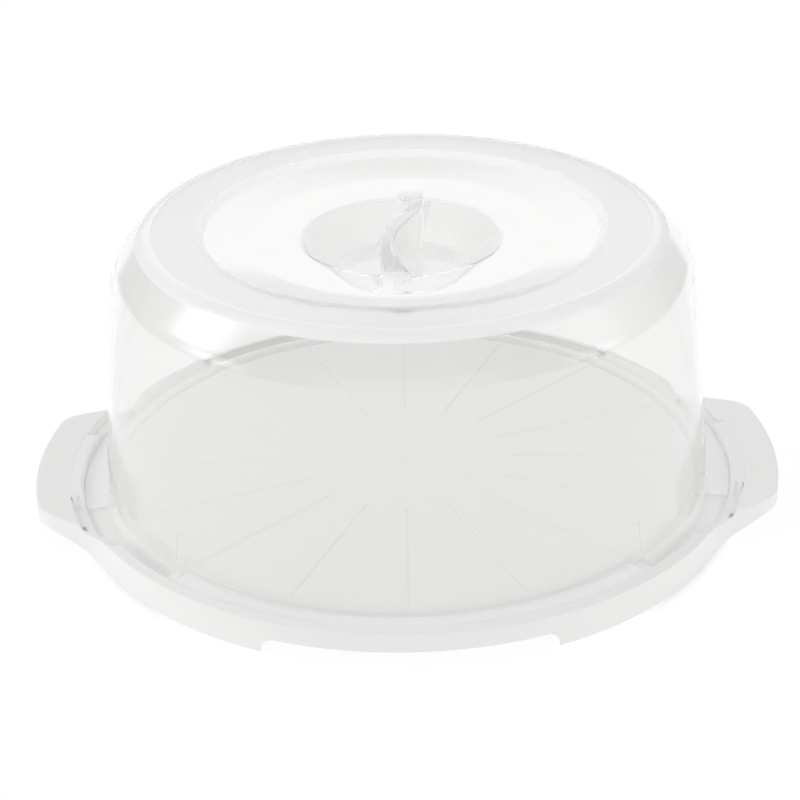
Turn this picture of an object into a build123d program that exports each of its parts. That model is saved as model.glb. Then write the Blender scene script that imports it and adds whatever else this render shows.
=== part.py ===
"""Cake carrier: a round serving tray with two carrying ears, and a clear dome lid that lifts off.

All sizes are in millimetres. The origin is on the tray's axis in the plane that the tray stands
on. +Z is up, +X runs through the middle of an ear, and -Y is the front.
"""
from build123d import *
from math import cos, hypot, radians, sin, tan
import os

# Tray: floor, channel for the lid's edge, and rim
floor_radius = 148.0          # edge of the raised cake floor
floor_height = 17.0           # cake floor above the table
floor_thickness = 2.2
channel_inner = 149.2         # foot of the step down from the cake floor
channel_outer = 162.3
channel_height = 10.5
rim_inner = 162.7             # top inner edge of the rim
rim_inner_height = 19.3
rim_radius = 168.0            # outer edge of the rim, and the widest part of the round tray
rim_outer_height = 17.2
rim_lip_height = 15.8         # lower edge of the small lip under the rim
skirt_top = 166.8             # skirt radius just under the lip
skirt_foot = 165.9            # skirt radius at the table
tray_wall = 2.0

# Tray: arches cut in the skirt at the front and at the back
arch_half_width = 68.6
arch_height = 7.6
arch_rounding = 6.4

# Tray: slice guides engraved in the cake floor
slice_count = 16
slice_start = 53.0
slice_end = 143.0
slice_width = 2.0
slice_depth = 0.45
gate_radius = 1.0             # small dimple where the plastic was injected

# Tray: ribs on the step that centre the lid
centring_angle = 24.5         # from the front, mirrored and repeated at the back
centring_width = 1.6
centring_depth = 0.9

# Ears
ear_radius = 190.2            # outer edge, an arc round the tray's axis
ear_shoulder = (175.5, 55.3)  # a point on the ear's straight side
ear_side_angle = 29.0         # the side's slope from the X axis, in degrees
ear_corner = 20.0
ear_root = 36.0
ear_inner_height = 16.6       # top of the ear where it meets the recess
ear_outer_height = 19.0       # top of the ear at its outer edge
ear_edge_height = 10.6        # the ear's turned-down edge ends this far above the table
ear_edge_level = 179.4        # from here outwards the lower edge is level
ear_edge_knee = (155.4, 2.0)  # down to here it slopes
ear_edge_foot = 154.6         # here it has dropped to the table
ear_edge_rounding = 1.0

# Locking recess in each ear
recess_half_angle = 25.2      # at the level of the ledge
recess_end_run = 20.0         # each end slopes up to the rim over this length
recess_inner = 160.0
ledge_inner = 166.4           # the ledge's inner edge
ledge_outer = 172.6           # the ear plate starts here
ledge_height = 13.4
recess_wall_lean = 0.8        # the recess's outer wall leans out by this on either side
keeper_half_angle = 11.0      # the raised keeper that the lid's tab slides beside
keeper_ramp = 3.2             # degrees of slope at each end of the keeper
keeper_rounding = 1.4
ramp_slot_width = 1.3
ramp_slot_depth = 0.6
drain_angle = 21.2            # corner holes, from the ear's middle
drain_half_angle = 1.2
drain_inner = 169.8
drain_outer = 172.2

# Lid: outer profile
lid_wall = 1.8
lid_height = 149.0            # flat ring on top
lid_foot = 10.8               # lower edge, just clear of the channel
wall_top = 143.6              # radius where wall and shoulder meet
wall_top_height = 131.0
wall_slope = 0.0955           # outward for each millimetre down
shoulder_rounding = 14.8
ring_outer = 127.8            # radius where shoulder and flat ring meet
ring_rounding = 11.0
ring_inner = 100.0            # step down from the flat ring into the dish
dish_edge = (99.2, 146.3)
dish_middle = (76.0, 142.3)
dish_rounding = 90.0
bowl_rim = (49.4, 141.6)
bowl_rim_rounding = 1.6
bowl_floor = (31.0, 124.4)
bowl_floor_rounding = 4.0

# Lid: grip bar across the bowl
grip_end_height = 141.4
grip_top_height = 148.8
grip_swing = 7.6              # how far the bar swings to each side
grip_shift = -0.3
grip_cross = 4.0              # where the bar crosses the middle
grip_quarter = 29.0           # length of a quarter of the swing
grip_half_width = 3.9
grip_end_flare = 3.3
grip_flare_start = 25.0
grip_reach = 52.0
grip_wall = 1.6
grip_rounding = 1.5

# Lid: foot flange, tabs and posts
flange_radius = 162.0
flange_top = 18.4
flange_thickness = 1.6
flange_half_angle = 44.5
tab_radius = 165.6
tab_top = 12.6
tab_half_angle = 13.5
post_angle = 44.0             # from the front and from the back
post_width = 6.4
post_top = 39.0
post_depth = 1.6


def revolved(corners):
    """A solid of revolution from corners of (radius, height, rounding)."""
    points = [(radius, height) for radius, height, rounding in corners]
    roundings = [rounding for radius, height, rounding in corners]
    outline = FilletPolyline(*points, radius=roundings, close=True)
    return revolve(make_face(Plane.XZ * outline), Axis.Z)


def ring_sector(inner, outer, low, high, middle, half_angle):
    """A piece of a flat ring, centred on an angle from +X."""
    outline = Polyline((inner, low), (outer, low), (outer, high), (inner, high), close=True)
    sector = revolve(make_face(Plane.XZ * outline), Axis.Z, revolution_arc=2 * half_angle)
    return Rot(0, 0, middle - half_angle) * sector


def column(radius, low, high):
    """A plain cylinder on the axis."""
    return Pos(0, 0, low) * Cylinder(radius, high - low, align=(Align.CENTER, Align.CENTER, Align.MIN))


def round_tray():
    """The tray without its ears: cake floor, channel, rim and skirt."""
    under_channel = channel_height - tray_wall
    return revolved([
        (0, floor_height, 0),
        (floor_radius, floor_height, 1.2),
        (channel_inner, channel_height, 0.8),
        (channel_outer, channel_height, 0.8),
        (rim_inner, rim_inner_height, 0.5),
        (rim_radius, rim_outer_height, 0.9),
        (rim_radius, rim_lip_height, 0),
        (skirt_top, rim_lip_height - 0.6, 0),
        (skirt_foot, 0, 0.4),
        (skirt_foot - tray_wall, 0, 0.4),
        (skirt_top - tray_wall - 0.4, under_channel, 0.8),
        (channel_inner - tray_wall, under_channel, 0.6),
        (floor_radius - tray_wall, floor_height - floor_thickness, 0.6),
        (0, floor_height - floor_thickness, 0),
    ])


def ear_outline(inset):
    """Plan of the tray with both ears, pulled in by the inset."""
    near = 140.0
    far = 200.0
    slope = tan(radians(ear_side_angle))

    def half_width(x):
        return ear_shoulder[1] + (ear_shoulder[0] - x) * slope

    wedge = make_face(Polyline(
        (near, half_width(near)),
        (far, half_width(far)),
        (far, -half_width(far)),
        (near, -half_width(near)),
        close=True,
    ))
    ear = wedge & Circle(ear_radius)
    plan = Circle(skirt_top) + ear + Rot(0, 0, 180) * ear
    tips = [v for v in plan.vertices() if hypot(v.X, v.Y) > ear_radius - 0.1]
    plan = fillet(tips, ear_corner)
    roots = [v for v in plan.vertices() if abs(hypot(v.X, v.Y) - skirt_top) < 0.1 and abs(v.Y) > 20]
    plan = fillet(roots, ear_root)
    if inset > 0:
        plan = offset(plan, -inset)
    return plan


def ear_ceiling(drop):
    """Everything under the ears' dished top face, lowered by the drop."""
    return revolved([
        (0, -1, 0),
        (ear_radius, -1, 0),
        (ear_radius, ear_outer_height - drop, 0),
        (ledge_outer, ear_inner_height - drop, 0),
        (0, ear_inner_height - drop, 0),
    ])


def below_ear():
    """All that lies below the right ear's lower edge, which slopes up from the skirt's foot."""
    far = ear_radius + 10
    wire = FilletPolyline(
        (ear_edge_foot, -2),
        (ear_edge_foot, 0),
        ear_edge_knee,
        (ear_edge_level, ear_edge_height),
        (far, ear_edge_height),
        (far, -2),
        radius=[0, 0, 0, arch_rounding, 0, 0],
        close=True,
    )
    return extrude(make_face(Plane.XZ * wire), 2 * ear_shoulder[1], both=True)


def rounded_tunnel(half_width, height, rounding, length):
    """A tunnel along Y whose upper corners are rounded."""
    wire = FilletPolyline(
        (-half_width, -2),
        (-half_width, height),
        (half_width, height),
        (half_width, -2),
        radius=[0, rounding, rounding, 0],
        close=True,
    )
    return extrude(make_face(Plane.XZ * wire), length / 2, both=True)


def make_tray():
    """The serving tray, one moulding with both ears."""
    plan = ear_outline(0)
    hollow = ear_outline(tray_wall)
    ears = extrude(plan, ear_outer_height + 2) & ear_ceiling(0)
    brims = []
    for edge in ears.edges():
        middle = hypot(edge.center().X, edge.center().Y)
        high = edge.bounding_box().min.Z > ear_inner_height - 0.5
        if high and middle > skirt_top + 1 and abs(middle - ledge_outer) > 0.1:
            brims.append(edge)
    ears = fillet(brims, ear_edge_rounding)
    ears -= extrude(hollow, ear_outer_height + 2) & ear_ceiling(tray_wall)
    ears -= below_ear() + mirror(below_ear(), Plane.YZ)
    ears -= column(skirt_foot - 0.9, -1, 30)
    tray = round_tray() + ears

    inside = extrude(plan, ear_outer_height)
    for middle in (0, 180):
        tray += inside & ring_sector(skirt_foot - 0.9, ledge_outer + recess_wall_lean + tray_wall,
                                     ledge_height - tray_wall, ear_inner_height - 0.2,
                                     middle, recess_half_angle + 0.7)
    for middle in (0, 180):
        tray -= ring_sector(recess_inner, ledge_inner, channel_height, 30, middle, recess_half_angle - 1)
        tray -= recess(middle)
        tray += keeper(middle)
        for side in (-1, 1):
            hole = ring_sector(drain_inner, drain_outer, 0, ear_outer_height,
                               middle + side * drain_angle, drain_half_angle)
            tray -= hole & extrude(hollow, ear_outer_height)

    arch = rounded_tunnel(arch_half_width, arch_height, arch_rounding, 40)
    for way in (-1, 1):
        tray -= Pos(0, way * skirt_foot, 0) * arch

    vee = make_face(Polyline(
        (-slice_width, slice_depth),
        (slice_width, slice_depth),
        (0, -slice_depth),
        close=True,
    ))
    groove = extrude(Plane.YZ * vee, slice_end - slice_start)
    for k in range(slice_count):
        tray -= Rot(0, 0, 360 / slice_count * k) * Pos(slice_start, 0, floor_height) * groove
    tray -= Pos(0, 0, floor_height) * Cone(0.2, gate_radius, 2 * slice_depth)

    rib_height = floor_height - 1.5 - channel_height
    rib = Pos(channel_inner + centring_depth - 1.6, 0, channel_height + rib_height / 2 - 0.2)
    rib = rib * Box(3.2, centring_width, rib_height)
    for middle in (-90, 90):
        for side in (-1, 1):
            tray += Rot(0, 0, middle + side * centring_angle) * rib
    return tray


def keeper(middle):
    """The raised bar along a recess, with a ramp at each end."""
    outline = FilletPolyline(
        (ledge_inner, channel_height - 1),
        (ledge_inner + tray_wall, channel_height - 1),
        (ledge_inner + tray_wall, ledge_height - 1),
        (ledge_outer + 1, ledge_height - 1),
        (ledge_outer + 1, ear_inner_height),
        (ledge_inner, ear_inner_height),
        radius=[0, 0, 0, 0, 0, keeper_rounding],
        close=True,
    )
    bar = Rot(0, 0, middle - keeper_half_angle) * revolve(
        make_face(Plane.XZ * outline), Axis.Z, revolution_arc=2 * keeper_half_angle)
    run = radians(keeper_ramp) * ledge_outer
    rise = ear_inner_height - ledge_height
    slope = make_face(Polyline((0, 0), (run, 0), (run, rise), close=True))
    for side in (-1, 1):
        ramp = extrude(Plane.XZ * slope, (ledge_outer - ledge_inner) / 2, both=True)
        slot = make_face(Polyline((-1, 0), (run, rise), (run, rise + 2), (-1, 2), close=True))
        slot = extrude(Plane.XZ * slot, ramp_slot_width / 2, both=True)
        ramp -= Pos(0, 0, -ramp_slot_depth) * slot
        radius = (ledge_inner + ledge_outer) / 2
        ramp = Rot(0, 0, -90) * ramp if side > 0 else mirror(Rot(0, 0, -90) * ramp, Plane.XZ)
        ramp = Pos(radius, side * run * 0.98, ledge_height) * ramp
        bar += Rot(0, 0, middle + side * keeper_half_angle) * ramp
    return bar


def recess(middle):
    """The room above the ledge, whose ends slope up to the rim."""
    rise = rim_inner_height - ledge_height
    spread = recess_half_angle + 10
    lean_foot = ledge_outer - recess_wall_lean
    lean_top = ledge_outer + recess_wall_lean
    outline = Polyline(
        (recess_inner, ledge_height),
        (lean_foot, ledge_height),
        (lean_top, ear_inner_height),
        (lean_top, 30),
        (recess_inner, 30),
        close=True,
    )
    room = Rot(0, 0, middle - spread) * revolve(
        make_face(Plane.XZ * outline), Axis.Z, revolution_arc=2 * spread)
    high = 30 - ledge_height
    end = make_face(Polyline(
        (0, 0),
        (recess_end_run * high / rise, high),
        (recess_end_run * high / rise + 60, high),
        (recess_end_run * high / rise + 60, 0),
        close=True,
    ))
    block = extrude(Plane.YZ * end, 20, both=True)
    for side in (-1, 1):
        stop = block if side > 0 else mirror(block, Plane.XZ)
        room -= Rot(0, 0, middle + side * recess_half_angle) * Pos(ledge_inner, 0, ledge_height) * stop
    return room


def lid_region(inset, foot):
    """Everything under the lid's outer face, pulled in by the inset."""
    wall_foot = wall_top + (wall_top_height - foot) * wall_slope
    lean = radians(50.1)                     # the shoulder's slope
    half_turn = tan(lean / 2)
    wall_turn = tan((radians(90) - lean - wall_slope) / 2)
    cone = radians(43.0)                     # the bowl's side, from the axis
    bowl_turn = tan((radians(90) - cone) / 2)
    return revolved([
        (0, bowl_floor[1] - inset, 0),
        (bowl_floor[0] + inset * bowl_turn, bowl_floor[1] - inset, bowl_floor_rounding + inset),
        (bowl_rim[0] + inset * bowl_turn, bowl_rim[1] - inset, bowl_rim_rounding),
        (dish_middle[0], dish_middle[1] - inset, dish_rounding),
        (dish_edge[0] + inset, dish_edge[1] - inset, 0.6),
        (ring_inner + inset, lid_height - inset, 0.5),
        (ring_outer - inset * half_turn, lid_height - inset, ring_rounding - inset),
        (wall_top - inset * (1 - wall_turn), wall_top_height - inset * wall_turn,
         shoulder_rounding - inset),
        (wall_foot - inset, foot, 0),
        (0, foot, 0),
    ])


def grip_band(inset, low, rounding):
    """The grip bar's winding band, cut off by its arched top, pulled in by the inset."""
    steps = 12
    left = []
    right = []
    for k in range(steps + 1):
        y = grip_reach * (1 - 2 * k / steps)
        turn = radians(90) * (y - grip_cross) / grip_quarter
        centre = grip_shift + grip_swing * sin(turn)
        flare = max(0.0, (abs(y) - grip_flare_start) / (bowl_rim[0] - grip_flare_start))
        half = grip_half_width + grip_end_flare * flare ** 2 - inset
        lean = hypot(1, grip_swing * cos(turn) * radians(90) / grip_quarter)
        left.append((centre - half * lean, y))
        right.append((centre + half * lean, y))
    side_a = Spline(*left)
    side_b = Spline(*right)
    ends = [Line(left[0], right[0]), Line(left[-1], right[-1])]
    band = Pos(0, 0, low) * extrude(make_face([side_a, side_b] + ends), lid_height - low)
    arch = ThreePointArc(
        (-bowl_rim[0], grip_end_height - inset),
        (0, grip_top_height - inset),
        (bowl_rim[0], grip_end_height - inset),
    )
    tail = 6.0
    sill = Polyline(
        arch @ 1,
        (bowl_rim[0] + tail, grip_end_height - inset - 2),
        (bowl_rim[0] + tail, low),
        (-bowl_rim[0] - tail, low),
        (-bowl_rim[0] - tail, grip_end_height - inset - 2),
        arch @ 0,
    )
    under_arch = extrude(Plane.YZ * make_face([arch, sill]), 40, both=True)
    bar = band & under_arch
    if rounding > 0:
        top_edges = [e for e in bar.edges() if e.bounding_box().min.Z > grip_end_height - 2.5
                     and e.length > grip_reach]
        bar = fillet(top_edges, rounding)
    return bar


def flange(radius, low, high, middle, half_angle):
    """A piece of the foot flange, or a tab, standing out from the lid's wall."""
    root = wall_top + (wall_top_height - low) * wall_slope - 1.0
    return ring_sector(root, radius, low, high, middle, half_angle)


def post(angle):
    """A narrow post on the wall, which ends the flange."""
    foot_root = wall_top + (wall_top_height - lid_foot) * wall_slope - 1.0
    top_root = wall_top + (wall_top_height - post_top) * wall_slope - 1.0
    side = make_face(Polyline(
        (foot_root, flange_top - flange_thickness),
        (flange_radius, flange_top - flange_thickness),
        (flange_radius, flange_top + 1),
        (foot_root + post_depth, flange_top + 8),
        (top_root + 1.0 + post_depth / 2, post_top - 1),
        (top_root, post_top),
        close=True,
    ))
    body = extrude(Plane.XZ * side, post_width / 2, both=True)
    return Rot(0, 0, angle) * body


def make_lid():
    """The dome lid, one clear moulding with its bowl, grip, flange, tabs and posts."""
    outside = lid_region(0, lid_foot) + grip_band(0, bowl_floor[1] - 12, grip_rounding)
    inside = lid_region(lid_wall, lid_foot - 5) + grip_band(grip_wall, bowl_floor[1] - 14, 0)
    lid = outside - inside
    for middle in (-90, 90):
        lid += flange(flange_radius, flange_top - flange_thickness, flange_top, middle, flange_half_angle)
        for side in (-1, 1):
            lid += post(middle + side * post_angle)
    for middle in (0, 180):
        lid += flange(tab_radius, lid_foot, tab_top, middle, tab_half_angle)
    return lid


os.makedirs("parts", exist_ok=True)
export_step(make_tray(), "parts/tray.step")
export_step(make_lid(), "parts/lid.step")
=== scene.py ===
from math import atan2, cos, degrees, hypot, pi, radians, sin, tan

import bpy
from mathutils import Matrix, Vector


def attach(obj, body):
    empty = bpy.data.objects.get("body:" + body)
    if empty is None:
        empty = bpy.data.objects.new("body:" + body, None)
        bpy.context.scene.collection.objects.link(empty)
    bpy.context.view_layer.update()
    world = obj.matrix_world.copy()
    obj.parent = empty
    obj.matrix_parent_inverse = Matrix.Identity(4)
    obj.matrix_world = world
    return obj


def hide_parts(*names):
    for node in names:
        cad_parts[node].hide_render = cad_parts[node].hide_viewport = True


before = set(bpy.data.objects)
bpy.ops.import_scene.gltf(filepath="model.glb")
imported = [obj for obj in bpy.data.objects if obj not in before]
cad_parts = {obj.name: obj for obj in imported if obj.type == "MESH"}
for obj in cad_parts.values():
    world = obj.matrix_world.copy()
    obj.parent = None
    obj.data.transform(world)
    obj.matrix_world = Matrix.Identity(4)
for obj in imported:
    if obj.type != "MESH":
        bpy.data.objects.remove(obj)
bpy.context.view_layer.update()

mm = 0.001


# ---- Tray -----------------------------------------------------------------------------------
# The serving tray with its two carrying ears: one white polypropylene moulding. Its faces have
# the faint satin grain of the mould, and the channel for the lid's edge is painted a little
# lighter, against the shade that falls in it.

white = (0.90, 0.90, 0.89, 1)
satin = 0.34                     # roughness of the moulded face
grain_size = 900                 # waves of mould grain per metre
grain_depth = 0.05 * mm
mottle_size = 14                 # waves of the slow mottling per metre
channel_inner = 148 * mm
channel_outer = 163 * mm
# painted light: how much lighter the channel for the lid's edge is made, against its shade
channel_painted_light = 1.05


def calc(tree, operation, *values):
    """A Math node on numbers and sockets. Returns its output."""
    node = tree.nodes.new("ShaderNodeMath")
    node.operation = operation
    for k, value in enumerate(values):
        if isinstance(value, (int, float)):
            node.inputs[k].default_value = value
        else:
            tree.links.new(value, node.inputs[k])
    return node.outputs[0]


def ramp(tree, value, low, high, start=0, end=1, soft=False):
    """Goes from start to end while the value goes from low to high. Returns the output."""
    node = tree.nodes.new("ShaderNodeMapRange")
    node.interpolation_type = "SMOOTHSTEP" if soft else "LINEAR"
    node.inputs["From Min"].default_value = low
    node.inputs["From Max"].default_value = high
    tree.links.new(value, node.inputs["Value"])
    for name, given in (("To Min", start), ("To Max", end)):
        if isinstance(given, (int, float)):
            node.inputs[name].default_value = given
        else:
            tree.links.new(given, node.inputs[name])
    return node.outputs["Result"]


def vector_node(tree, operation, vector):
    """A Vector Math node whose first input is linked."""
    node = tree.nodes.new("ShaderNodeVectorMath")
    node.operation = operation
    tree.links.new(vector, node.inputs[0])
    return node


def own_place(tree):
    """A point's place on its own object. Returns the output."""
    return tree.nodes.new("ShaderNodeTexCoord").outputs["Object"]


def from_axis(tree):
    """A point's distance from the upright axis. Returns the output."""
    flat = vector_node(tree, "MULTIPLY", own_place(tree))
    flat.inputs[1].default_value = (1, 1, 0)
    return vector_node(tree, "LENGTH", flat.outputs[0]).outputs["Value"]


def in_ring(tree, inner, outer, inner_edge, outer_edge, soft=False):
    """1 between two radii, each edge fading over twice its width. Returns the output."""
    radius = from_axis(tree)
    past = ramp(tree, radius, inner - inner_edge, inner + inner_edge, soft=soft)
    before = ramp(tree, radius, outer + outer_edge, outer - outer_edge, soft=soft)
    return calc(tree, "MULTIPLY", past, before)


def scaled(tree, colour, factor):
    """A colour made lighter or darker by a factor. Returns the output."""
    node = vector_node(tree, "SCALE", colour)
    tree.links.new(factor, node.inputs["Scale"])
    return node.outputs[0]


def source_of(shader, name):
    """The output that feeds one of the shader's inputs."""
    return shader.inputs[name].links[0].from_socket


def noise(tree, detail):
    """A Noise node that lies fixed on the object."""
    node = tree.nodes.new("ShaderNodeTexNoise")
    node.inputs["Detail"].default_value = detail
    tree.links.new(own_place(tree), node.inputs["Vector"])
    return node


def grain_group():
    """Mould grain: a height for bump, and a slow mottling of tint and roughness."""
    group = bpy.data.node_groups.new("mould_grain", "ShaderNodeTree")
    for name, way, kind in (
        ("Grain size", "INPUT", "NodeSocketFloat"),
        ("Colour", "INPUT", "NodeSocketColor"),
        ("Mottle", "INPUT", "NodeSocketFloat"),
        ("Roughness", "INPUT", "NodeSocketFloat"),
        ("Colour", "OUTPUT", "NodeSocketColor"),
        ("Roughness", "OUTPUT", "NodeSocketFloat"),
        ("Height", "OUTPUT", "NodeSocketFloat"),
    ):
        group.interface.new_socket(name, in_out=way, socket_type=kind)
    given = group.nodes.new("NodeGroupInput").outputs
    result = group.nodes.new("NodeGroupOutput").inputs

    fine = noise(group, 3)
    group.links.new(given["Grain size"], fine.inputs["Scale"])
    group.links.new(fine.outputs["Fac"], result["Height"])

    slow = noise(group, 2)
    slow.inputs["Scale"].default_value = mottle_size
    centred = calc(group, "SUBTRACT", slow.outputs["Fac"], 0.5)
    amount = calc(group, "MULTIPLY", centred, given["Mottle"])
    shade = calc(group, "ADD", amount, 1)
    group.links.new(scaled(group, given["Colour"], shade), result["Colour"])
    dull = calc(group, "MULTIPLY_ADD", amount, 2, given["Roughness"])
    group.links.new(dull, result["Roughness"])
    return group


mould_grain = grain_group()


def plastic(name, colour, mottle, roughness, bump):
    """A moulded plastic: a Principled BSDF fed by the mould grain. Returns material and shader."""
    material = bpy.data.materials.new(name)
    material.use_nodes = True
    nodes = material.node_tree.nodes
    links = material.node_tree.links
    shader = nodes["Principled BSDF"]
    surface = nodes.new("ShaderNodeGroup")
    surface.node_tree = mould_grain
    surface.inputs["Grain size"].default_value = grain_size
    surface.inputs["Colour"].default_value = colour
    surface.inputs["Mottle"].default_value = mottle
    surface.inputs["Roughness"].default_value = roughness
    relief = nodes.new("ShaderNodeBump")
    relief.inputs["Strength"].default_value = bump
    relief.inputs["Distance"].default_value = grain_depth
    links.new(surface.outputs["Colour"], shader.inputs["Base Color"])
    links.new(surface.outputs["Roughness"], shader.inputs["Roughness"])
    links.new(surface.outputs["Height"], relief.inputs["Height"])
    links.new(relief.outputs["Normal"], shader.inputs["Normal"])
    return material, shader


white_plastic, white_shader = plastic("white_plastic", white, 0.02, satin, 0.3)
white_shader.inputs["IOR"].default_value = 1.49

# the channel that the lid's edge stands over is painted a little lighter than the open faces,
# against the shade that falls in it
white_tree = white_plastic.node_tree
in_channel = in_ring(white_tree, channel_inner, channel_outer, 0.3 * mm, 0.4 * mm)
painted_channel_light = ramp(white_tree, in_channel, 0, 1, 1, channel_painted_light)
moulded = source_of(white_shader, "Base Color")
white_tree.links.new(scaled(white_tree, moulded, painted_channel_light), white_shader.inputs["Base Color"])

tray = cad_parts["tray"]
tray.data.materials.clear()
tray.data.materials.append(white_plastic)


# ---- Lid ------------------------------------------------------------------------------------
# The dome lid: one clear polypropylene moulding, 1.8 mm thick. Its top is a satin flat ring
# round a glossy dish, with a bowl sunk in the middle and a winding hollow bar across the bowl
# to hold it by.

lid_wall = 1.8 * mm
lid_foot = 10.8 * mm
wall_slope = 0.0955              # how far the wall leans in for each unit of height
turning_steps = 192
same_place = 0.002 * mm          # points closer together than this are one point
dome = [                         # radius, height, rounding
    (0, 124.4, 0),
    (31.0, 124.4, 4.0),
    (49.0, 141.6, 3.0),
    (76.0, 142.3, 32.0),
    (97.6, 146.1, 2.4),
    (100.6, 149.0, 1.2),
    (127.8, 149.0, 11.0),
    (143.6, 131.0, 14.8),
    (154.306, 18.9, 0),
    (155.08, 10.8, 0),
]


def clear_selection():
    if bpy.context.object and bpy.context.object.mode != "OBJECT":
        bpy.ops.object.mode_set(mode="OBJECT")
    bpy.ops.object.select_all(action="DESELECT")


def drawn_line(points):
    """A new mesh object that is one open line through the points, drawn by extruding."""
    clear_selection()
    bpy.ops.mesh.primitive_plane_add(size=1 * mm)
    bpy.ops.object.mode_set(mode="EDIT")
    bpy.ops.mesh.select_mode(type="VERT")
    bpy.ops.mesh.select_all(action="SELECT")
    bpy.ops.mesh.merge(type="CENTER")
    bpy.ops.transform.translate(value=points[0])
    for a, b in zip(points, points[1:]):
        step = Vector(b) - Vector(a)
        bpy.ops.mesh.extrude_region_move(TRANSFORM_OT_translate={"value": step})
    bpy.ops.object.mode_set(mode="OBJECT")
    return bpy.context.object


def pick(shape, kind, chosen):
    """Goes into edit mode with just the elements of the chosen numbers selected."""
    clear_selection()
    bpy.context.view_layer.objects.active = shape
    shape.select_set(True)
    bpy.ops.object.mode_set(mode="EDIT")
    bpy.ops.mesh.select_mode(type=kind)
    bpy.ops.mesh.select_all(action="DESELECT")
    bpy.ops.object.mode_set(mode="OBJECT")
    elements = {"VERT": shape.data.vertices, "EDGE": shape.data.edges}[kind]
    for number in chosen:
        elements[number].select = True
    bpy.ops.object.mode_set(mode="EDIT")


def round_corner(line, corner, offset, segments):
    """Rounds the corner of a line that lies at a point."""
    near = [v.index for v in line.data.vertices if (v.co - Vector(corner)).length < 0.01 * mm]
    pick(line, "VERT", near)
    bpy.ops.mesh.bevel(affect="VERTICES", offset=offset, segments=segments)
    bpy.ops.object.mode_set(mode="OBJECT")


def spin_closed(steps, angle):
    """Turns the selected outline round the upright axis and closes it, faces outwards."""
    bpy.ops.mesh.spin(steps=steps, angle=angle, center=(0, 0, 0), axis=(0, 0, 1))
    bpy.ops.mesh.select_all(action="SELECT")
    bpy.ops.mesh.remove_doubles(threshold=same_place)
    bpy.ops.mesh.normals_make_consistent(inside=False)
    bpy.ops.object.mode_set(mode="OBJECT")


def offset_outline(outline, inset):
    """The outline moved towards the inside of the wall, in metres, with its roundings."""
    line = []
    for k, (radius, height, rounding) in enumerate(outline):
        normals = []
        for a, b in ((k - 1, k), (k, k + 1)):
            if a >= 0 and b < len(outline):
                run = outline[b][0] - outline[a][0]
                rise = outline[b][1] - outline[a][1]
                length = hypot(run, rise)
                normals.append(Vector((rise / length, -run / length)))
        mean = normals[0] if len(normals) == 1 else (normals[0] + normals[1]).normalized()
        reach = inset / mean.dot(normals[0])
        moved = Vector((radius * mm, height * mm)) + mean * reach
        turning = 1
        if len(normals) == 2:
            turning = 1 if normals[0].cross(normals[1]) > 0 else -1
        kept = max(0.0, rounding * mm + turning * inset) if rounding else 0
        line.append((moved.x if radius else 0, moved.y, kept))
    return line


def turned(name, outline, inset, foot):
    """A closed turned shape whose outside is the outline pulled in by the inset."""
    line = offset_outline(outline, inset)
    line[-1] = (line[-1][0] + (line[-1][1] - foot) * wall_slope, foot, 0)
    points = [(radius, 0, height) for radius, height, rounding in line]
    points.append((0, 0, foot))
    shape = drawn_line(points)
    for k in range(1, len(line) - 1):
        rounding = line[k][2]
        if rounding > 0:
            before = Vector(points[k - 1]) - Vector(points[k])
            after = Vector(points[k + 1]) - Vector(points[k])
            turn = pi - before.angle(after)
            segments = max(4, round(degrees(turn) / 5))
            round_corner(shape, points[k], rounding * tan(turn / 2), segments)
    bpy.ops.object.mode_set(mode="EDIT")
    bpy.ops.mesh.select_all(action="SELECT")
    spin_closed(turning_steps, 2 * pi)
    shape.name = name
    return shape


def joined(shape, tool, operation):
    """Adds a tool's shape to a shape, or cuts it out, and removes the tool."""
    clear_selection()
    bpy.context.view_layer.objects.active = shape
    shape.select_set(True)
    step = shape.modifiers.new(operation.lower(), "BOOLEAN")
    step.operation = operation
    step.solver = "EXACT"
    step.object = tool
    bpy.ops.object.modifier_apply(modifier=step.name)
    bpy.data.objects.remove(tool)
    return shape


bar_rows = 48
bar_swing = 7.6 * mm
bar_shift = -0.3 * mm
bar_cross = 4 * mm               # where the bar crosses its own middle line
bar_quarter = 29 * mm            # the length of a quarter of its swing
bar_half = 3.9 * mm
bar_flare = 3.3 * mm             # how much wider than that it gets towards its ends
flare_start = 25 * mm
bowl_radius = 49.4 * mm
bar_end = 141.4 * mm
bar_top = 148.8 * mm
bar_reach = 52 * mm
bar_wall = 1.6 * mm
bar_rounding = 1.5 * mm


def bar_turn(y):
    """How far the bar's swing has turned at a place along it."""
    return radians(90) * (y - bar_cross) / bar_quarter


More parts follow.
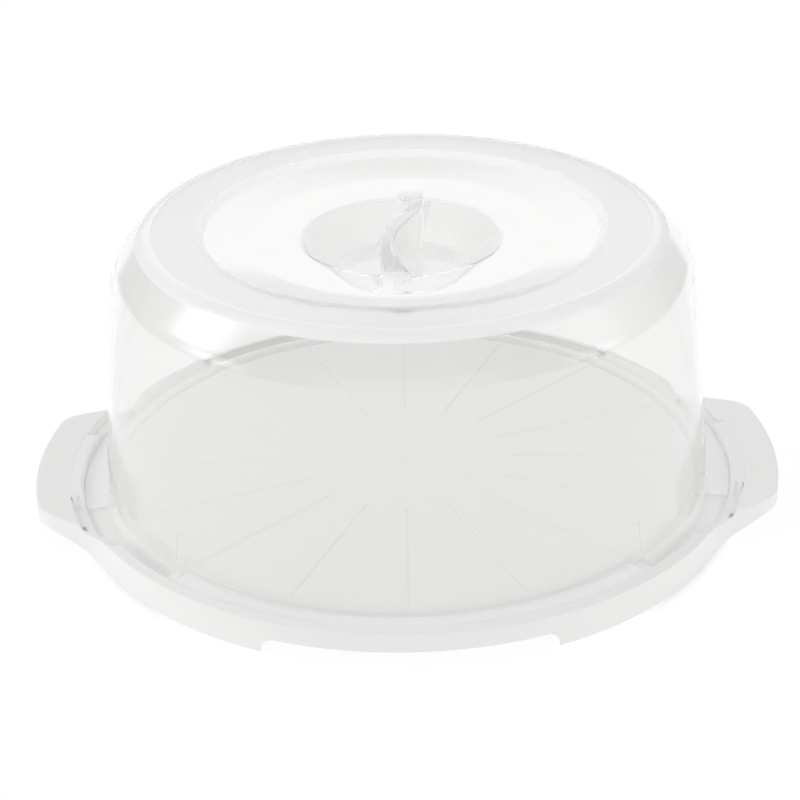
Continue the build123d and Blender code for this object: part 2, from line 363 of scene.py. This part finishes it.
def grip_bar(name, inset, low, rounding):
    """The winding bar as a solid block from below the bowl up to its arched top."""
    clear_selection()
    bpy.ops.mesh.primitive_grid_add(x_subdivisions=4, y_subdivisions=bar_rows, size=2)
    bar = bpy.context.object
    bar.name = name
    bpy.ops.object.mode_set(mode="EDIT")
    bpy.ops.transform.resize(value=(bar_half - inset, bar_reach, 1))
    bpy.ops.transform.translate(value=(0, 0, low))
    bpy.ops.mesh.extrude_region_move(TRANSFORM_OT_translate={"value": (0, 0, bar_end - low)})
    bpy.ops.mesh.select_all(action="SELECT")
    bpy.ops.mesh.normals_make_consistent(inside=False)
    bpy.ops.object.mode_set(mode="OBJECT")
    middle_height = bar_top - bar_end
    arch_radius = (bowl_radius ** 2 + middle_height ** 2) / (2 * middle_height)
    for row in range(bar_rows + 1):
        y = bar_reach * (2 * row / bar_rows - 1)
        turn = bar_turn(y)
        centre = bar_shift + bar_swing * sin(turn)
        lean = hypot(1, bar_swing * cos(turn) * radians(90) / bar_quarter)
        flare = max(0.0, (abs(y) - flare_start) / (bowl_radius - flare_start))
        half = (bar_half + bar_flare * flare ** 2 - inset) * lean
        lift = arch_radius * cos(atan2(y, arch_radius)) - arch_radius + middle_height - inset
        for vertex in bar.data.vertices:
            if abs(vertex.co.y - y) < 0.1 * mm:
                vertex.co.x = centre + vertex.co.x * half / (bar_half - inset)
                if vertex.co.z > low + 1 * mm:
                    vertex.co.z = bar_end + lift
    if rounding > 0:
        corners = []
        for edge in bar.data.edges:
            a, b = (bar.data.vertices[v].co for v in edge.vertices)
            high = min(a.z, b.z) > low + 1 * mm
            along = abs(a.y - b.y) > 0.5 * mm
            faces = [p for p in bar.data.polygons if edge.key in p.edge_keys]
            if high and along and len(faces) == 2 and faces[0].normal.dot(faces[1].normal) < 0.5:
                corners.append(edge.index)
        pick(bar, "EDGE", corners)
        bpy.ops.mesh.bevel(offset=rounding, segments=4)
        bpy.ops.object.mode_set(mode="OBJECT")
    return bar


# the hollow goes deeper than the dome, so that it opens the dome's foot
lid = turned("lid_dome", dome, 0, lid_foot)
lid = joined(lid, grip_bar("bar", 0, 112 * mm, bar_rounding), "UNION")
hollow = turned("lid_hollow", dome, lid_wall, 5 * mm)
hollow = joined(hollow, grip_bar("bar_hollow", bar_wall, 110 * mm, 0), "UNION")
lid = joined(lid, hollow, "DIFFERENCE")

wall_root = 153.6 * mm           # inside the wall, where flange and tabs grow from it
flange_radius = 162.5 * mm
flange_top = 18.4 * mm
flange_thickness = 1.6 * mm
flange_half_angle = 44.5
tab_radius = 165.6 * mm
tab_top = 12.6 * mm
tab_half_angle = 13.5
post_angle = 44                  # from the lid's front or back
post_width = 6.4 * mm
post_side = [                    # radius, height
    (153.4, 17.0),
    (160.6, 17.0),
    (160.6, 18.6),
    (156.4, 21.5),
    (154.2, 27.0),
    (153.0, 38.2),
    (151.6, 39.0),
]


def ring_piece(name, outer, low, high, middle, half_angle):
    """A piece of a flat ring that grows from the wall; middle is in degrees from +X."""
    clear_selection()
    bpy.ops.mesh.primitive_plane_add(size=1)
    piece = bpy.context.object
    piece.name = name
    bpy.ops.object.mode_set(mode="EDIT")
    bpy.ops.mesh.select_mode(type="VERT")
    bpy.ops.mesh.select_all(action="SELECT")
    size = (outer - wall_root, 1, high - low)
    bpy.ops.transform.rotate(value=radians(90), orient_axis="X", center_override=(0, 0, 0))
    bpy.ops.transform.resize(value=size, center_override=(0, 0, 0))
    bpy.ops.transform.translate(value=((wall_root + outer) / 2, 0, (low + high) / 2))
    bpy.ops.object.mode_set(mode="OBJECT")
    piece.data.transform(Matrix.Rotation(radians(middle - half_angle), 4, "Z"))
    bpy.ops.object.mode_set(mode="EDIT")
    steps = max(6, round(half_angle * 2 / 2.5))
    spin_closed(steps, radians(-2 * half_angle))
    return piece


def post(angle):
    """A narrow post on the wall, which ends the flange."""
    start = -post_width / 2
    shape = drawn_line([(radius * mm, start, height * mm) for radius, height in post_side])
    bpy.ops.object.mode_set(mode="EDIT")
    bpy.ops.mesh.select_all(action="SELECT")
    bpy.ops.mesh.edge_face_add()
    bpy.ops.mesh.extrude_region_move(TRANSFORM_OT_translate={"value": (0, post_width, 0)})
    bpy.ops.mesh.select_all(action="SELECT")
    bpy.ops.mesh.normals_make_consistent(inside=False)
    bpy.ops.object.mode_set(mode="OBJECT")
    shape.data.transform(Matrix.Rotation(radians(angle), 4, "Z"))
    return shape


flange_low = flange_top - flange_thickness
tab_low = lid_foot + 0.1 * mm
for middle in (-90, 90):
    flange = ring_piece(
        "flange", flange_radius, flange_low, flange_top, middle, flange_half_angle)
    lid = joined(lid, flange, "UNION")
    for way in (-1, 1):
        lid = joined(lid, post(middle + way * post_angle), "UNION")
for middle in (0, 180):
    tab = ring_piece("tab", tab_radius, tab_low, tab_top, middle, tab_half_angle)
    lid = joined(lid, tab, "UNION")


trapped_after = 3.5              # bounces


def let_light_through(tree, shader, kept):
    """Soft light passes a clear wall, less the kept share, and trapped light gets out of it."""
    path = tree.nodes.new("ShaderNodeLightPath").outputs
    soft = calc(tree, "MAXIMUM", path["Is Shadow Ray"], path["Is Diffuse Ray"])
    trapped = calc(tree, "GREATER_THAN", path["Ray Depth"], trapped_after)
    passing = calc(tree, "MAXIMUM", soft, trapped)
    solid = calc(tree, "MULTIPLY_ADD", passing, kept - 1, 1)
    tree.links.new(solid, shader.inputs["Alpha"])


def lid_plastic(name, colour, roughness, ior, clearness, coat, coat_roughness, coat_ior, kept):
    """The lid's plastic, clear or as a copy that paints light or shade, added to the lid. Returns
    material and shader.
    """
    material, shader = plastic(name, colour, 0.01, roughness, 0.01)
    shader.inputs["IOR"].default_value = ior
    shader.inputs["Transmission Weight"].default_value = clearness
    shader.inputs["Coat Weight"].default_value = coat
    shader.inputs["Coat Roughness"].default_value = coat_roughness
    shader.inputs["Coat IOR"].default_value = coat_ior
    let_light_through(material.node_tree, shader, kept)
    lid.data.materials.append(material)
    return material, shader


def satin_band(tree, shader, inner, outer, above, roughness, darkening):
    """Makes a flat ring satin, coat and all, and a little greyer, by its radius and height."""
    axes = tree.nodes.new("ShaderNodeSeparateXYZ")
    tree.links.new(own_place(tree), axes.inputs[0])
    on_ring = in_ring(tree, inner, outer, 0.3 * mm, 0.6 * mm, soft=True)
    on_top = ramp(tree, axes.outputs["Z"], above - 0.3 * mm, above, soft=True)
    band = calc(tree, "MULTIPLY", on_ring, on_top)
    dull = ramp(tree, band, 0, 1, source_of(shader, "Roughness"), roughness)
    tree.links.new(dull, shader.inputs["Roughness"])
    glossy_coat = shader.inputs["Coat Roughness"].default_value
    tree.links.new(ramp(tree, band, 0, 1, glossy_coat, roughness), shader.inputs["Coat Roughness"])
    grey = scaled(tree, source_of(shader, "Base Color"), ramp(tree, band, 0, 1, 1, darkening))
    tree.links.new(grey, shader.inputs["Base Color"])


# One plastic, clear in its walls. Lighter, milky copies of it paint highlights at the shoulder's
# corner, the bowl's rim and the step, and paint light over the shade in the tray's channel at the
# foot. Greyer copies paint the shade that the grip, its sides and the bowl's floor and corner
# show.
lid.data.materials.clear()
clear_plastic, clear_shader = lid_plastic(
    "clear_plastic", (0.97, 0.97, 0.965, 1), roughness=0.06, ior=1.05, clearness=0.94,
    coat=1, coat_roughness=0.12, coat_ior=1.5, kept=0.02)
# a lighter, milky copy: painted highlight on the shoulder's corner, painted light on the bowl's
# rim
lid_plastic(
    "corner_plastic_painted_light", (0.99, 0.99, 0.985, 1), roughness=0.2, ior=1.05, clearness=0.35,
    coat=1, coat_roughness=0.12, coat_ior=1.5, kept=0.02)
# a greyer copy: painted shade on the grip's top and the bowl's floor
lid_plastic(
    "grip_plastic_painted_shade", (0.86, 0.86, 0.86, 1), roughness=0.12, ior=1.08, clearness=0.85,
    coat=1, coat_roughness=0.12, coat_ior=1.5, kept=0.04)
# a lighter, milky copy: painted light over the shade in the tray's channel, at the foot
lid_plastic(
    "foot_plastic_painted_light", (0.96, 0.96, 0.955, 1), roughness=0.3, ior=1.1, clearness=0.35,
    coat=1, coat_roughness=0.2, coat_ior=1.45, kept=0.02)
# a lighter, milky copy: painted highlight on the step round the dish
lid_plastic(
    "step_plastic_painted_light", (0.99, 0.99, 0.985, 1), roughness=0.1, ior=1.01, clearness=0.72,
    coat=0.2, coat_roughness=0.15, coat_ior=1.3, kept=0.02)
# a greyer copy: painted shade on the grip's sides and the bowl's floor corner
lid_plastic(
    "side_plastic_painted_shade", (0.9, 0.9, 0.89, 1), roughness=0.15, ior=1.03, clearness=0.78,
    coat=0.6, coat_roughness=0.15, coat_ior=1.4, kept=0.02)
satin_band(
    clear_plastic.node_tree, clear_shader, 101 * mm, 124 * mm, 148.9 * mm,
    roughness=0.55, darkening=0.9)

slot_of = {material.name: k for k, material in enumerate(lid.data.materials)}
floor_inner = 29.3 * mm          # where the bowl's floor ends and its corner starts
floor_low = 124.2 * mm
for face in lid.data.polygons:
    radius = hypot(face.center.x, face.center.y)
    heights = [lid.data.vertices[v].co.z for v in face.vertices]
    low = min(heights)
    high = max(heights)
    beside = abs(face.center.x - bar_shift - bar_swing * sin(bar_turn(face.center.y)))
    in_bowl = radius < 46 * mm
    on_corner = 122.9 * mm < radius < 131.0 * mm and low > 144 * mm
    on_bowl_rim = 47.6 * mm < radius < 51.5 * mm and low > 138 * mm
    on_step = 95.5 * mm < radius < 104.0 * mm and low > 143.2 * mm
    on_foot = high < 19.0 * mm
    on_grip = in_bowl and low > 127 * mm and beside < 7 * mm
    on_bowl_floor = radius < floor_inner and floor_low < low and high < 124.6 * mm
    on_bowl_corner = floor_inner < radius < 32.3 * mm and low > floor_low and high < 127 * mm
    on_side = in_bowl and abs(face.normal.z) < 0.4 and beside < 9 * mm and high > 130 * mm
    # the copies that paint light and shade go onto their faces
    if on_corner or on_bowl_rim:
        face.material_index = slot_of["corner_plastic_painted_light"]
    if on_step:
        face.material_index = slot_of["step_plastic_painted_light"]
    if on_foot:
        face.material_index = slot_of["foot_plastic_painted_light"]
    if on_grip or on_bowl_floor:
        face.material_index = slot_of["grip_plastic_painted_shade"]
    if on_side or on_bowl_corner:
        face.material_index = slot_of["side_plastic_painted_shade"]

pick(lid, "VERT", range(len(lid.data.vertices)))
bpy.ops.mesh.remove_doubles(threshold=0.01 * mm)
bpy.ops.mesh.dissolve_degenerate(threshold=0.01 * mm)
bpy.ops.object.mode_set(mode="OBJECT")
bpy.ops.object.shade_smooth_by_angle(angle=radians(32))
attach(lid, "lid")
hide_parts("lid")


# ---- Floor and light ------------------------------------------------------------------------
# A plain white sweep under the carrier, and soft studio light from above and from both sides.
# The eye sees plain white behind the carrier. What lights it, and what shows in its gloss, is
# set apart from that.

paper_colour = (0.95, 0.95, 0.95, 1)
paper_glow = 1.02
paper_own = 0.93                 # the share of its look that is its own glow
paper_own_soft = 0.2             # the same for soft light
light_white = (1, 1, 1, 1)

clear_selection()
bpy.ops.mesh.primitive_grid_add(x_subdivisions=4, y_subdivisions=4, size=8)
floor = bpy.context.object
floor.name = "studio_floor"
paper = bpy.data.materials.new("studio_paper")
paper.use_nodes = True
paper_tree = paper.node_tree
paper_shader = paper_tree.nodes["Principled BSDF"]
paper_shader.inputs["Base Color"].default_value = paper_colour
paper_shader.inputs["Roughness"].default_value = 0.9
bright_paper = paper_tree.nodes.new("ShaderNodeEmission")
bright_paper.inputs["Color"].default_value = light_white
bright_paper.inputs["Strength"].default_value = paper_glow


def seen_directly(tree):
    """1 where the eye or a clear wall looks straight at the backdrop, also in a gloss."""
    path = tree.nodes.new("ShaderNodeLightPath").outputs
    first = calc(tree, "MAXIMUM", path["Is Camera Ray"], path["Is Transmission Ray"])
    return calc(tree, "MAXIMUM", first, path["Is Glossy Ray"])


def mixed(tree, share, first, second, output):
    """Puts a mix of two shaders into an output node."""
    mix = tree.nodes.new("ShaderNodeMixShader")
    tree.links.new(share, mix.inputs[0])
    tree.links.new(first.outputs[0], mix.inputs[1])
    tree.links.new(second.outputs[0], mix.inputs[2])
    tree.links.new(mix.outputs[0], tree.nodes[output].inputs["Surface"])


# the sweep's own glow stops under the tray, but not at its front and back arches
paper_axes = paper_tree.nodes.new("ShaderNodeSeparateXYZ")
paper_tree.links.new(own_place(paper_tree), paper_axes.inputs[0])
aside = calc(paper_tree, "ABSOLUTE", paper_axes.outputs["Y"])
off_tray = ramp(paper_tree, from_axis(paper_tree), 164 * mm, 172 * mm, soft=True)
at_arches = ramp(paper_tree, aside, 100 * mm, 130 * mm, soft=True)
uncovered = calc(paper_tree, "MAXIMUM", off_tray, at_arches)
seen_glow = calc(paper_tree, "MULTIPLY", seen_directly(paper_tree), paper_own)
glow = calc(paper_tree, "MAXIMUM", seen_glow, paper_own_soft)
open_glow = calc(paper_tree, "MULTIPLY", glow, uncovered)
mixed(paper_tree, open_glow, paper_shader, bright_paper, "Material Output")
floor.data.materials.append(paper)

# the sky lights the carrier evenly, and more from two sides
sky_light = 0.57
sky_sides = (                    # direction, strength
    ((-0.94, -0.34, 0), 0.56),
    ((0.8, -0.6, 0), 0.6),
)
gloss_level = 0.74               # the sky that a gloss shows, near the horizon
gloss_overhead = 0.36
gloss_aside = 0.35               # how much of that is left towards +X and -X

world = bpy.data.worlds.new("studio")
bpy.context.scene.world = world
world.use_nodes = True
sky_tree = world.node_tree
direction = sky_tree.nodes.new("ShaderNodeTexCoord").outputs["Generated"]
sky = sky_tree.nodes["Background"]
sky.inputs["Color"].default_value = light_white
brightness = sky_light
for towards, strength in sky_sides:
    facing = vector_node(sky_tree, "DOT_PRODUCT", direction)
    facing.inputs[1].default_value = towards
    ahead = calc(sky_tree, "MAXIMUM", facing.outputs["Value"], 0)
    squared = calc(sky_tree, "MULTIPLY", ahead, ahead)
    brightness = calc(sky_tree, "MULTIPLY_ADD", squared, strength, brightness)
sky_tree.links.new(brightness, sky.inputs["Strength"])

# what the eye sees is plain white, and a gloss sees less of it overhead and to the sides
sky_axes = sky_tree.nodes.new("ShaderNodeSeparateXYZ")
sky_tree.links.new(direction, sky_axes.inputs[0])
upwards = ramp(
    sky_tree, sky_axes.outputs["Z"], 0.45, 0.75, gloss_level, gloss_overhead, soft=True)
sideways = calc(sky_tree, "ABSOLUTE", sky_axes.outputs["X"])
side_share = ramp(sky_tree, sideways, 0.35, 0.75, 1, gloss_aside, soft=True)
glossy_sky = calc(sky_tree, "MULTIPLY", upwards, side_share)
in_gloss = sky_tree.nodes.new("ShaderNodeLightPath").outputs["Is Glossy Ray"]
white_sky = sky_tree.nodes.new("ShaderNodeBackground")
white_sky.inputs["Color"].default_value = light_white
seen_strength = ramp(sky_tree, in_gloss, 0, 1, 1, glossy_sky)
sky_tree.links.new(seen_strength, white_sky.inputs["Strength"])
mixed(sky_tree, seen_directly(sky_tree), sky, white_sky, "World Output")


def soft_lamp(name, place, width, height, edge, power):
    """A large area lamp that points at the middle of the carrier and fades towards its edges."""
    data = bpy.data.lights.new(name, "AREA")
    data.shape = "RECTANGLE"
    data.size = width
    data.size_y = height
    data.energy = power
    data.use_nodes = True
    tree = data.node_tree
    spot = tree.nodes.new("ShaderNodeNewGeometry")
    axes = tree.nodes.new("ShaderNodeSeparateXYZ")
    tree.links.new(spot.outputs["Parametric"], axes.inputs[0])
    fades = []
    for k in (0, 1):
        away = calc(tree, "ABSOLUTE", calc(tree, "SUBTRACT", axes.outputs[k], 0.5))
        fades.append(ramp(tree, away, 0.5, 0.5 - edge, soft=True))
    fade = calc(tree, "MULTIPLY", fades[0], fades[1])
    tree.links.new(fade, tree.nodes["Emission"].inputs["Strength"])
    lamp = bpy.data.objects.new(name, data)
    bpy.context.scene.collection.objects.link(lamp)
    lamp.location = place
    aim = Vector((0, 0, 0.06)) - Vector(place)
    lamp.rotation_euler = aim.to_track_quat("-Z", "Y").to_euler()


# name, place, width, height, width of the faded edge, power in watts
soft_lamp("left_lamp", (-1.42, 0.05, 1.1), 0.95, 1.2, 0.4, 9.5)
soft_lamp("right_lamp", (1.4, -0.25, 1.1), 1.2, 1.2, 0.3, 2.8)
soft_lamp("left_fill", (-1.7, -0.5, 0.5), 1.2, 0.8, 0.4, 6)
soft_lamp("right_fill", (1.7, -0.5, 0.5), 1.2, 0.8, 0.4, 4)
soft_lamp("back_lamp", (0, 2.2, 1.22), 2.6, 1.3, 0.12, 4.5)


# ---- Camera ---------------------------------------------------------------------------------
# Eye level for someone who stands at a table and looks down at the carrier's front, from about
# a metre away and with a long lens.

eye = (0, -0.97002, 0.54533)
pan = -0.0028
pitch = 0.4718
roll = -0.0227
forward = Vector((sin(pan) * cos(pitch), cos(pan) * cos(pitch), -sin(pitch)))
level = Vector((cos(pan), -sin(pan), 0))
upright = level.cross(forward)
right = cos(roll) * level + sin(roll) * upright
top = -sin(roll) * level + cos(roll) * upright
lens = bpy.data.cameras.new("camera")
lens.lens = 95.8
lens.sensor_width = 36
camera = bpy.data.objects.new("camera", lens)
bpy.context.scene.collection.objects.link(camera)
turn = Matrix((right, top, -forward)).transposed()
camera.matrix_world = Matrix.Translation(eye) @ turn.to_4x4()
bpy.context.scene.camera = camera
bpy.context.scene.view_settings.view_transform = "Standard"
